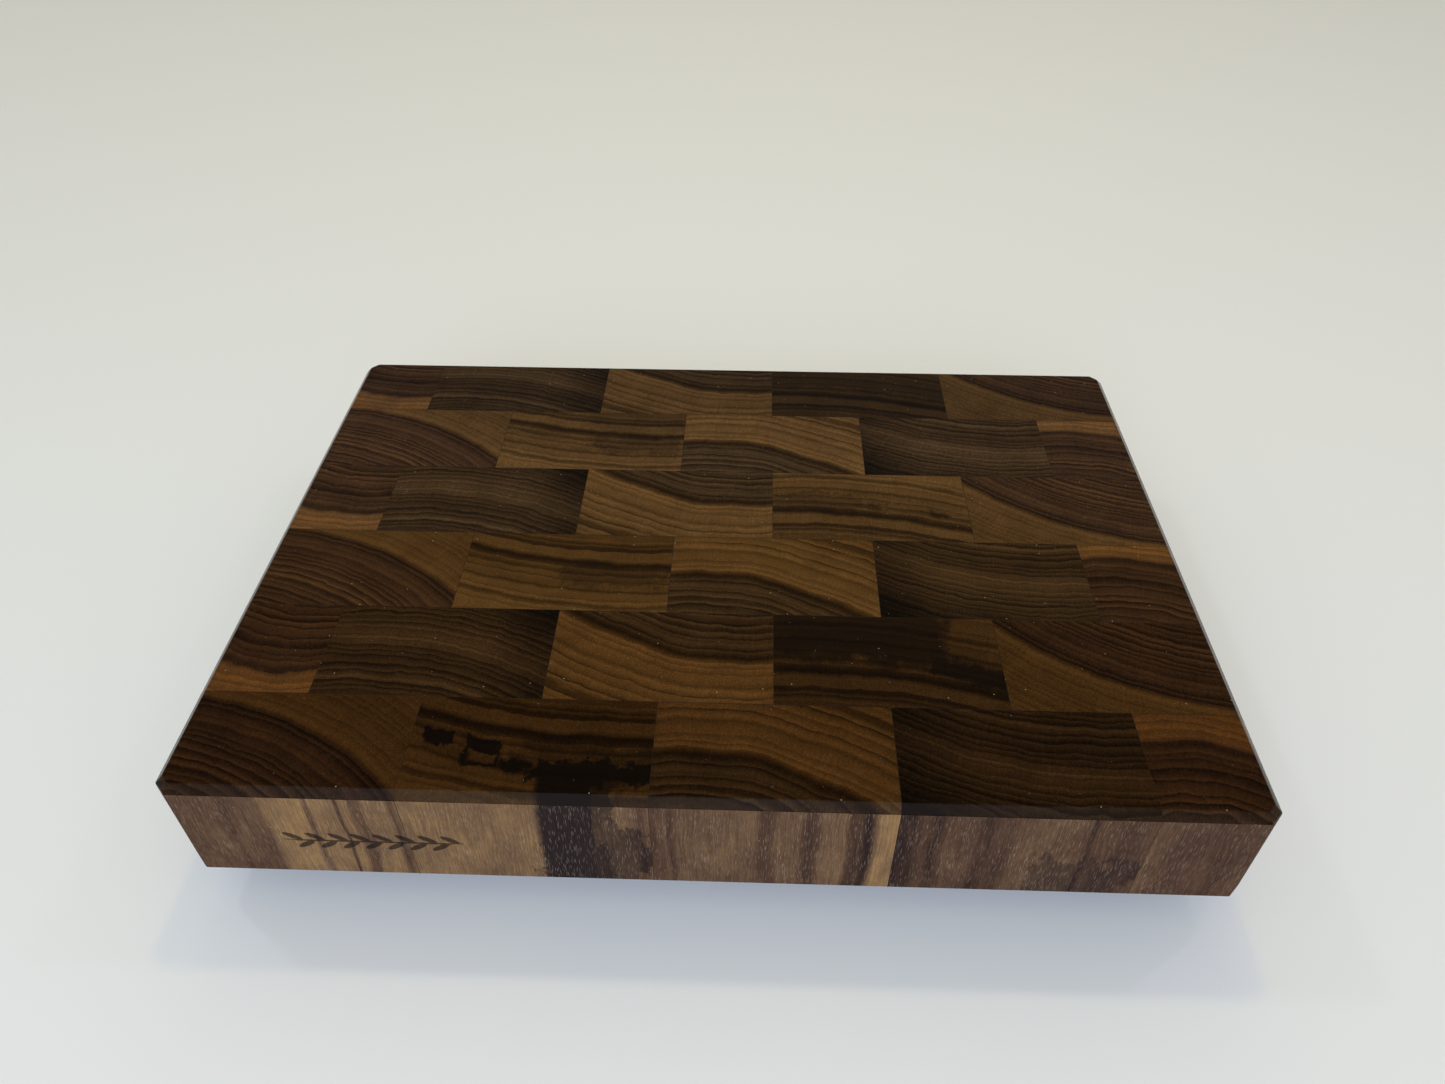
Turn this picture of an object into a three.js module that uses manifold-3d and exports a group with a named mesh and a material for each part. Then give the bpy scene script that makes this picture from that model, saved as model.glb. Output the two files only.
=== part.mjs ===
// End-grain walnut cutting board, standing on four rubber feet that are screwed on from below.
// Millimetres, +Z up. The origin is on the surface that the feet stand on, under the middle
// of the board. +X runs along the board's length and the front edge faces -Y.

import * as THREE from 'three';
import { mergeVertices } from 'three/addons/utils/BufferGeometryUtils.js';
import Module from 'manifold-3d';

const wasm = await Module();
wasm.setup();

// --- Driving dimensions ---

const BOARD_LENGTH = 406;
const BOARD_DEPTH = 285;
const BOARD_THICKNESS = 53;
const CORNER_CUT = 5.2; // leg of the 45 degree cut on each upright corner
const TOP_CHAMFER = 3.2;
const BOTTOM_CHAMFER = 1.5;

// Five sticks are glued side by side into a panel, which is cut across into strips. Each strip
// stands on end, and every other one is turned half round, so that the seams are staggered.
const STICKS = [
  { letter: 'a', width: 43.8, colour: 0x5a4136 },
  { letter: 'b', width: 91.6, colour: 0x4a3020 },
  { letter: 'c', width: 90.0, colour: 0x70492a },
  { letter: 'd', width: 91.4, colour: 0x46301f },
  { letter: 'e', width: 89.2, colour: 0x5c3c28 },
];
const STRIP_COUNT = 6;
const STRIP_DEPTH = 48.2; // the outer two strips are what is left after the edges are trimmed
const GLUE_THICKNESS = 0.2;

const FOOT_HEIGHT = 19;
const FOOT_TOP_RADIUS = 15.5;
const FOOT_FLOOR_RADIUS = 13;
const FOOT_EDGE_ROUND = 1.6;
const FOOT_FROM_END = 32; // foot's axis to the end of the board
const FOOT_FROM_EDGE = 32; // foot's axis to the front or back of the board
const FOOT_RECESS_RADIUS = 7.2;
const FOOT_RECESS_DEPTH = 13;
const FOOT_RECESS_CHAMFER = 0.8;
const FOOT_TOP_BEVEL_WIDTH = 0.5;
const FOOT_TOP_BEVEL_HEIGHT = 1;

const WASHER_RADIUS = 6.9;
const WASHER_THICKNESS = 1.2;

const SCREW_CORE_RADIUS = 1.5;
const SCREW_THREAD_RADIUS = 2.1;
const SCREW_THREAD_PITCH = 2;
const SCREW_THREAD_COUNT = 8;
const SCREW_CREST_PLACE = 0.6; // share of the pitch from a root up to the crest
const SCREW_LENGTH = 25; // under the head
const SCREW_POINT_LENGTH = 3.5;
const SCREW_HEAD_RADIUS = 4.1;
const SCREW_HEAD_HEIGHT = 2.8;
// The round of the pan head: shares of the head's radius and height, from its face upwards.
const SCREW_HEAD_ROUND = [
  { radius: 0.6, height: 0 },
  { radius: 0.9, height: 0.25 },
  { radius: 1, height: 0.57 },
];
const SCREW_CROSS_LENGTH = 4.6;
const SCREW_CROSS_WIDTH = 1;
const SCREW_CROSS_DEPTH = 1.6;

const CLEARANCE = 0.3; // around the screws
const OVERRUN = 5; // how far a cutting tool runs past what it cuts
const ROUND_SEGMENTS = 28;
const SCREW_SEGMENTS = 12;

// --- Derived positions ---

const BOARD_BOTTOM = FOOT_HEIGHT;
const BOARD_TOP = FOOT_HEIGHT + BOARD_THICKNESS;
const WASHER_TOP = FOOT_RECESS_DEPTH;
const WASHER_BOTTOM = WASHER_TOP - WASHER_THICKNESS;
const SCREW_TOP = WASHER_BOTTOM + SCREW_LENGTH;
const FOOT_X = BOARD_LENGTH / 2 - FOOT_FROM_END;
const FOOT_Y = BOARD_DEPTH / 2 - FOOT_FROM_EDGE;
const FOOT_PLACES = [
  { place: 'front_left', x: -FOOT_X, y: -FOOT_Y },
  { place: 'front_right', x: FOOT_X, y: -FOOT_Y },
  { place: 'back_left', x: -FOOT_X, y: FOOT_Y },
  { place: 'back_right', x: FOOT_X, y: FOOT_Y },
];

// --- Materials ---

const glue = new THREE.MeshStandardMaterial({ color: 0x2a1a12, roughness: 0.7, metalness: 0 });
const rubber = new THREE.MeshStandardMaterial({ color: 0x1c1c1e, roughness: 0.85, metalness: 0 });
const zincSteel = new THREE.MeshStandardMaterial({ color: 0xaeb1b5, roughness: 0.4, metalness: 1 });
const stainless = new THREE.MeshStandardMaterial({ color: 0xc4c6c8, roughness: 0.3, metalness: 1 });

function walnut(stick) {
  return new THREE.MeshStandardMaterial({ color: stick.colour, roughness: 0.6, metalness: 0 });
}

// --- Solids and meshes ---

function toSolid(geometry) {
  geometry.deleteAttribute('normal');
  geometry.deleteAttribute('uv');
  const merged = mergeVertices(geometry, 1e-4);
  return new wasm.Manifold(new wasm.Mesh({
    numProp: 3,
    vertProperties: merged.attributes.position.array,
    triVerts: merged.index.array,
  }));
}

function toGeometry(solid) {
  const mesh = solid.getMesh();
  const geometry = new THREE.BufferGeometry();
  geometry.setAttribute('position', new THREE.BufferAttribute(mesh.vertProperties, 3));
  geometry.setIndex(new THREE.BufferAttribute(mesh.triVerts, 1));
  geometry.computeVertexNormals();
  return geometry;
}

function boxSolid(x, y, z) {
  const geometry = new THREE.BoxGeometry(x.high - x.low, y.high - y.low, z.high - z.low);
  geometry.translate((x.low + x.high) / 2, (y.low + y.high) / 2, (z.low + z.high) / 2);
  return toSolid(geometry);
}

// A body turned about +Z from a profile of [radius, height] points.
function turned(profile, segments) {
  const points = profile.map(([radius, height]) => new THREE.Vector2(radius, height));
  const geometry = new THREE.LatheGeometry(points, segments);
  geometry.rotateX(Math.PI / 2);
  return geometry;
}

const group = new THREE.Group();

function addPiece(name, geometry, material, x = 0, y = 0) {
  const mesh = new THREE.Mesh(geometry, material);
  mesh.name = name;
  mesh.position.set(x, y, 0);
  group.add(mesh);
}

// --- Board ---

// The plan outline, a rectangle with its corners cut off, made thick with one chamfer all
// round its upper and lower edges.
function chamferedPlate(chamfer, low, high) {
  const halfLength = BOARD_LENGTH / 2;
  const halfDepth = BOARD_DEPTH / 2;
  const outline = new THREE.Shape();
  outline.moveTo(-halfLength + CORNER_CUT, -halfDepth);
  outline.lineTo(halfLength - CORNER_CUT, -halfDepth);
  outline.lineTo(halfLength, -halfDepth + CORNER_CUT);
  outline.lineTo(halfLength, halfDepth - CORNER_CUT);
  outline.lineTo(halfLength - CORNER_CUT, halfDepth);
  outline.lineTo(-halfLength + CORNER_CUT, halfDepth);
  outline.lineTo(-halfLength, halfDepth - CORNER_CUT);
  outline.lineTo(-halfLength, -halfDepth + CORNER_CUT);
  const geometry = new THREE.ExtrudeGeometry(outline, {
    depth: high - low - 2 * chamfer,
    bevelEnabled: true,
    bevelSegments: 1,
    bevelThickness: chamfer,
    bevelSize: chamfer,
    bevelOffset: -chamfer,
  });
  geometry.translate(0, 0, low + chamfer);
  return toSolid(geometry);
}

// The finished board as one envelope: the upper edges have a wider chamfer than the lower.
function boardEnvelope() {
  const upper = chamferedPlate(TOP_CHAMFER, BOARD_BOTTOM - 2 * OVERRUN, BOARD_TOP);
  const lower = chamferedPlate(BOTTOM_CHAMFER, BOARD_BOTTOM, BOARD_TOP + 2 * OVERRUN);
  return upper.intersect(lower);
}

// Low and high limits of pieces laid end to end and centred on zero, with a glue film between
// each two. The outer two run past the envelope, which trims them.
function spansBetweenSeams(widths) {
  const total = widths.reduce((sum, width) => sum + width, 0);
  let edge = -total / 2;
  return widths.map((width, index) => {
    const isFirst = index === 0;
    const isLast = index === widths.length - 1;
    const low = isFirst ? edge - OVERRUN : edge + GLUE_THICKNESS / 2;
    edge += width;
    const high = isLast ? edge + OVERRUN : edge - GLUE_THICKNESS / 2;
    return { low, high };
  });
}

const throughBoard = { low: BOARD_BOTTOM - OVERRUN, high: BOARD_TOP + OVERRUN };
const stripSpans = spansBetweenSeams(new Array(STRIP_COUNT).fill(STRIP_DEPTH));

function pilotHole({ x, y }) {
  const radius = SCREW_THREAD_RADIUS + CLEARANCE;
  const low = BOARD_BOTTOM - OVERRUN;
  const high = SCREW_TOP + CLEARANCE;
  const geometry = new THREE.CylinderGeometry(radius, radius, high - low, SCREW_SEGMENTS);
  geometry.rotateX(Math.PI / 2);
  geometry.translate(x, y, (low + high) / 2);
  return toSolid(geometry);
}

const envelope = boardEnvelope();
const pilotHoles = FOOT_PLACES.map(pilotHole);
let glueFilms = envelope;

stripSpans.forEach((stripSpan, stripIndex) => {
  const isTurned = stripIndex % 2 === 0;
  const order = isTurned ? [...STICKS].reverse() : STICKS;
  const blockSpans = spansBetweenSeams(order.map((stick) => stick.width));
  order.forEach((stick, blockIndex) => {
    const cell = boxSolid(blockSpans[blockIndex], stripSpan, throughBoard);
    glueFilms = glueFilms.subtract(cell);
    const block = pilotHoles.reduce((solid, hole) => solid.subtract(hole), envelope.intersect(cell));
    addPiece(`strip${stripIndex + 1}_block_${stick.letter}`, toGeometry(block), walnut(stick));
  });
});

addPiece('glue_lines', toGeometry(glueFilms), glue);

// --- Feet and their fixings ---

// A tapered rubber foot, moulded with a recess from below for the washer and the screw.
function footGeometry() {
  const boreRadius = SCREW_THREAD_RADIUS + CLEARANCE;
  const floorEdge = [0, 30, 60, 90].map((degrees) => {
    const angle = THREE.MathUtils.degToRad(degrees);
    return [
      FOOT_FLOOR_RADIUS - FOOT_EDGE_ROUND * (1 - Math.sin(angle)),
      FOOT_EDGE_ROUND * (1 - Math.cos(angle)),
    ];
  });
  return turned([
    [FOOT_RECESS_RADIUS + FOOT_RECESS_CHAMFER, 0],
    ...floorEdge,
    [FOOT_TOP_RADIUS, FOOT_HEIGHT - FOOT_TOP_BEVEL_HEIGHT],
    [FOOT_TOP_RADIUS - FOOT_TOP_BEVEL_WIDTH, FOOT_HEIGHT],
    [boreRadius, FOOT_HEIGHT],
    [boreRadius, FOOT_RECESS_DEPTH],
    [FOOT_RECESS_RADIUS, FOOT_RECESS_DEPTH],
    [FOOT_RECESS_RADIUS, FOOT_RECESS_CHAMFER],
    [FOOT_RECESS_RADIUS + FOOT_RECESS_CHAMFER, 0],
  ], ROUND_SEGMENTS);
}

function washerGeometry() {
  const boreRadius = SCREW_THREAD_RADIUS + CLEARANCE;
  return turned([
    [boreRadius, WASHER_BOTTOM],
    [WASHER_RADIUS, WASHER_BOTTOM],
    [WASHER_RADIUS, WASHER_TOP],
    [boreRadius, WASHER_TOP],
    [boreRadius, WASHER_BOTTOM],
  ], ROUND_SEGMENTS);
}

// A pan-head screw, point up: the head bears on the washer and its cross faces the floor.
function screwGeometry() {
  const headBottom = WASHER_BOTTOM - SCREW_HEAD_HEIGHT;
  const threadTop = SCREW_TOP - SCREW_POINT_LENGTH;
  const threads = [];
  for (let turn = SCREW_THREAD_COUNT; turn > 0; turn -= 1) {
    const root = threadTop - turn * SCREW_THREAD_PITCH;
    threads.push([SCREW_CORE_RADIUS, root]);
    threads.push([SCREW_THREAD_RADIUS, root + SCREW_THREAD_PITCH * SCREW_CREST_PLACE]);
  }
  const headRound = SCREW_HEAD_ROUND.map(({ radius, height }) => (
    [SCREW_HEAD_RADIUS * radius, headBottom + SCREW_HEAD_HEIGHT * height]
  ));
  const body = toSolid(turned([
    [0, headBottom],
    ...headRound,
    [SCREW_HEAD_RADIUS, WASHER_BOTTOM],
    [SCREW_CORE_RADIUS, WASHER_BOTTOM],
    ...threads,
    [SCREW_CORE_RADIUS, threadTop],
    [0, SCREW_TOP],
  ], SCREW_SEGMENTS));
  const along = { low: -SCREW_CROSS_LENGTH / 2, high: SCREW_CROSS_LENGTH / 2 };
  const across = { low: -SCREW_CROSS_WIDTH / 2, high: SCREW_CROSS_WIDTH / 2 };
  const upInto = { low: headBottom - OVERRUN, high: headBottom + SCREW_CROSS_DEPTH };
  const cross = boxSolid(along, across, upInto).add(boxSolid(across, along, upInto));
  return toGeometry(body.subtract(cross));
}

FOOT_PLACES.forEach(({ place, x, y }) => {
  addPiece(`foot_${place}`, footGeometry(), rubber, x, y);
  addPiece(`washer_${place}`, washerGeometry(), zincSteel, x, y);
  addPiece(`screw_${place}`, screwGeometry(), stainless, x, y);
});

export default group;
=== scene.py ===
"""Looks for an end-grain walnut cutting board that stands on four screwed rubber feet."""

import math
from dataclasses import dataclass, field

import bmesh
import bpy
from mathutils import Euler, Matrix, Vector


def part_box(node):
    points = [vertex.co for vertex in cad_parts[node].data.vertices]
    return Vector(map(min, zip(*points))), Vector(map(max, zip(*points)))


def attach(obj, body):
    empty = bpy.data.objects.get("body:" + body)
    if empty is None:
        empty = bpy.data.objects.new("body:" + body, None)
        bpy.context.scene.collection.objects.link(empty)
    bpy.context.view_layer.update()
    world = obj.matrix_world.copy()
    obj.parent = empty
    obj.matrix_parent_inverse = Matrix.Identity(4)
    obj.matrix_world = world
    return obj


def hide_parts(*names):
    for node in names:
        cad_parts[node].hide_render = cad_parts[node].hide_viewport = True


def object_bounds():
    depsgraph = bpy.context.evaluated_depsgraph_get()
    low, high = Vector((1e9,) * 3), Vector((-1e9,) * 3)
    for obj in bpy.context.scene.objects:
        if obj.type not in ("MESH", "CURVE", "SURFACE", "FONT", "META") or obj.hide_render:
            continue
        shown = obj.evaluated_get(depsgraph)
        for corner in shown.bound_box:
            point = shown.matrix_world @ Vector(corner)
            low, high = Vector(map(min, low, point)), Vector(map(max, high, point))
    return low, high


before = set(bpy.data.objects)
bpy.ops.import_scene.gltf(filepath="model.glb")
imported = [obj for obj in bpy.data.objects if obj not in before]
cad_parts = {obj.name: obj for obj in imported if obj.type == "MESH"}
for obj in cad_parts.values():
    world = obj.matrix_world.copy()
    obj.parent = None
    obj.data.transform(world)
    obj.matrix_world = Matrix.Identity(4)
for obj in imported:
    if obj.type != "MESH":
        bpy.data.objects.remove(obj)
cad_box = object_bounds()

MM = 0.001
BOARD_HIGH = Vector(cad_box[1])
STRIPS = 6
FOOT_PLACES = ("front_left", "front_right", "back_left", "back_right")


# --- Node building ---

class Pattern:
    """A node tree under construction. Its values are sockets or plain numbers."""

    def __init__(self, tree):
        self.tree = tree

    def feed(self, socket, value):
        if isinstance(value, bpy.types.NodeSocket):
            self.tree.links.new(value, socket)
        else:
            socket.default_value = value

    def node(self, kind, inputs=(), **settings):
        made = self.tree.nodes.new(kind)
        for name, value in settings.items():
            setattr(made, name, value)
        for key, value in dict(inputs).items():
            self.feed(made.inputs[key], value)
        return made

    def math(self, operation, first, second=0.0):
        return self.node("ShaderNodeMath", {0: first, 1: second}, operation=operation).outputs[0]

    def add(self, first, second):
        return self.math("ADD", first, second)

    def less(self, first, second):
        return self.math("SUBTRACT", first, second)

    def times(self, first, second):
        return self.math("MULTIPLY", first, second)

    def step(self, value, start, end):
        """0 before start, 1 after end, smooth between them; start may be the larger one."""
        made = self.node("ShaderNodeMapRange", {"Value": value}, interpolation_type="SMOOTHSTEP")
        low, high = min(start, end), max(start, end)
        self.feed(made.inputs["From Min"], low)
        self.feed(made.inputs["From Max"], high)
        self.feed(made.inputs["To Min"], 0.0 if start < end else 1.0)
        self.feed(made.inputs["To Max"], 1.0 if start < end else 0.0)
        return made.outputs["Result"]

    def vector(self, x, y, z):
        return self.node("ShaderNodeCombineXYZ", {0: x, 1: y, 2: z}).outputs[0]

    def parts(self, vector):
        return self.node("ShaderNodeSeparateXYZ", {0: vector}).outputs[0:3]

    def length(self, vector):
        made = self.node("ShaderNodeVectorMath", {0: vector}, operation="LENGTH")
        return made.outputs["Value"]

    def stretched(self, parts, across, along):
        """A place in a stick, scaled by a pattern's repeats in a millimetre, across and along."""
        u, v, w = parts
        return self.vector(self.times(u, across), self.times(v, across), self.times(w, along))

    def noise(self, place, detail=2.0, roughness=0.5):
        """Smooth noise about one unit in size, from 0 to 1, as its value and its colour."""
        inputs = {"Vector": place, "Scale": 1.0, "Detail": detail, "Roughness": roughness}
        return self.node("ShaderNodeTexNoise", inputs).outputs

    def chance(self, value):
        """A number from 0 to 1 that is the same wherever value is the same."""
        inputs = {"W": value}
        return self.node("ShaderNodeTexWhiteNoise", inputs, noise_dimensions="1D").outputs["Value"]

    def cells(self, place):
        """Distance to the nearest of a scatter of points a unit apart, and that point's colour."""
        made = self.node("ShaderNodeTexVoronoi", {"Vector": place, "Scale": 1.0})
        return made.outputs["Distance"], made.outputs["Color"]

    def ramp(self, value, low, high, stops):
        """Numbers or colours given at stops between low and high."""
        made = self.node("ShaderNodeValToRGB", {0: self.span(value, low, high)})
        elements = made.color_ramp.elements
        while len(elements) < len(stops):
            elements.new(1.0)
        for element, (at, value_there) in zip(elements, stops):
            element.position = (at - low) / (high - low)
            grey = isinstance(value_there, (int, float))
            element.color = (*([value_there] * 3 if grey else value_there), 1.0)
        return made.outputs["Color"]

    def span(self, value, low, high):
        """0 at low and 1 at high, and even between them."""
        made = self.node("ShaderNodeMapRange", {"Value": value})
        self.feed(made.inputs["From Min"], low)
        self.feed(made.inputs["From Max"], high)
        return made.outputs["Result"]

    def mix(self, factor, first, second, blend="MIX"):
        made = self.node("ShaderNodeMix", data_type="RGBA", blend_type=blend)
        self.feed(made.inputs["Factor"], factor)
        for key, value in ((6, first), (7, second)):
            is_colour = isinstance(value, tuple)
            self.feed(made.inputs[key], (*value, 1.0) if is_colour else value)
        return made.outputs[2]

    def raise_surface(self, shader, height, strength, depth):
        """Gives a shader a fine relief."""
        inputs = {"Height": height, "Strength": strength, "Distance": depth}
        bump = self.node("ShaderNodeBump", inputs)
        self.feed(shader.inputs["Normal"], bump.outputs["Normal"])


def new_material(name):
    """A material with its pattern and its shader."""
    material = bpy.data.materials.new(name)
    material.use_nodes = True
    tree = material.node_tree
    return material, Pattern(tree), tree.nodes["Principled BSDF"]


def new_group(name, inputs, outputs):
    """An empty node group with its pattern, the values given to it and its results."""
    tree = bpy.data.node_groups.new(name, "ShaderNodeTree")
    for way, sockets in (("INPUT", inputs), ("OUTPUT", outputs)):
        for title, kind in sockets.items():
            tree.interface.new_socket(name=title, in_out=way, socket_type=f"NodeSocket{kind}")
    p = Pattern(tree)
    return p, p.node("NodeGroupInput").outputs, p.node("NodeGroupOutput").inputs


def finish_group(p, results, values):
    """Feeds a node group's results, and gives the group."""
    for title, value in values.items():
        p.feed(results[title], value)
    return p.tree


# --- Walnut ---

@dataclass
class Patch:
    """A mineral stain, in the stick's own millimetres: across its end, over its rings and along
    it. Only its rim may be dark."""

    across: tuple
    ring: tuple
    along: tuple = (-100.0, 500.0)
    strength: float = 1.0
    edge: float = 1.6
    jag: float = 26.0
    rim: float = 0.0


@dataclass
class Stick:
    """One long stick of walnut. Lengths are in millimetres, measured across its end: u to the
    right, v up. Rings are circles round the pith, and a ring's height is where it runs level.
    Tones go by the ring's height and sawn tones by u, from 0, dark, to 1, pale. The heartwood
    has colours of its own from a ring upwards. What differs between the strips goes by strip."""

    letter: str
    pith: tuple
    tones: list
    sawn: list
    colours: list
    heart: list = None
    heart_from: float = 0.0
    ring_gap: float = 3.4
    ring_line: float = 0.3
    ring_shade: float = 0.1
    faint_in_pale: float = 0.3
    wander: float = 4.0
    waves: tuple = ()
    shade_from: tuple = (200.0, 220.0)
    shade: float = 0.0
    rise: dict = field(default_factory=dict)
    # Painted shade: how much the tone of the front strips is lowered, by strip.
    front_painted_shade: dict = field(default_factory=dict)
    stains: dict = field(default_factory=dict)


def seen(red, green, blue):
    """A surface colour from the display values that it shows in even light."""
    light = 0.86
    parts = []
    for value in (red, green, blue):
        part = value / 255
        linear = part / 12.92 if part <= 0.04045 else ((part + 0.055) / 1.055) ** 2.4
        parts.append(linear / light)
    return tuple(parts)


# Colours from the darkest late wood to the palest early wood.
GOLDEN_WALNUT = [
    (0.0, seen(12, 7, 4)),
    (0.25, seen(35, 22, 9)),
    (0.5, seen(56, 38, 17)),
    (0.75, seen(81, 57, 29)),
    (1.0, seen(112, 79, 42)),
]
BROWN_WALNUT = [
    (0.0, seen(12, 8, 5)),
    (0.25, seen(32, 22, 12)),
    (0.5, seen(54, 38, 21)),
    (0.75, seen(76, 57, 35)),
    (1.0, seen(106, 83, 53)),
]
PLUM_WALNUT = [
    (0.0, seen(12, 7, 5)),
    (0.25, seen(33, 21, 12)),
    (0.5, seen(57, 38, 23)),
    (0.75, seen(82, 56, 30)),
    (1.0, seen(115, 77, 38)),
]
SAWN_ALONG = [
    (0.0, seen(26, 21, 25)),
    (0.25, seen(53, 38, 31)),
    (0.5, seen(79, 57, 43)),
    (0.75, seen(107, 82, 58)),
    (1.0, seen(145, 111, 70)),
]
MINERAL_STAIN = seen(13, 10, 9)
SAWN_STAIN = seen(25, 21, 25)
BEVEL_WALNUT = seen(30, 20, 14)
PALE_PORE = seen(168, 152, 134)
# Pale specks in the pores: partly dust, partly a painted glint.
PALE_DUST_AND_GLINT = (0.36, 0.30, 0.20)
BURNT = (0.012, 0.009, 0.008)

# Colours that the top of each strip is multiplied by: painted shade, darkest on the front strip, and
# a painted bluish reflection on the back strips.
PAINTED_LIGHT_BY_STRIP = {
    1: (0.59, 0.48, 0.36),
    2: (0.80, 0.69, 0.55),
    3: (0.92, 0.85, 0.72),
    4: (1.02, 1.01, 1.03),
    5: (1.07, 1.08, 1.20),
    6: (0.84, 0.85, 0.98),
}

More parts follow.
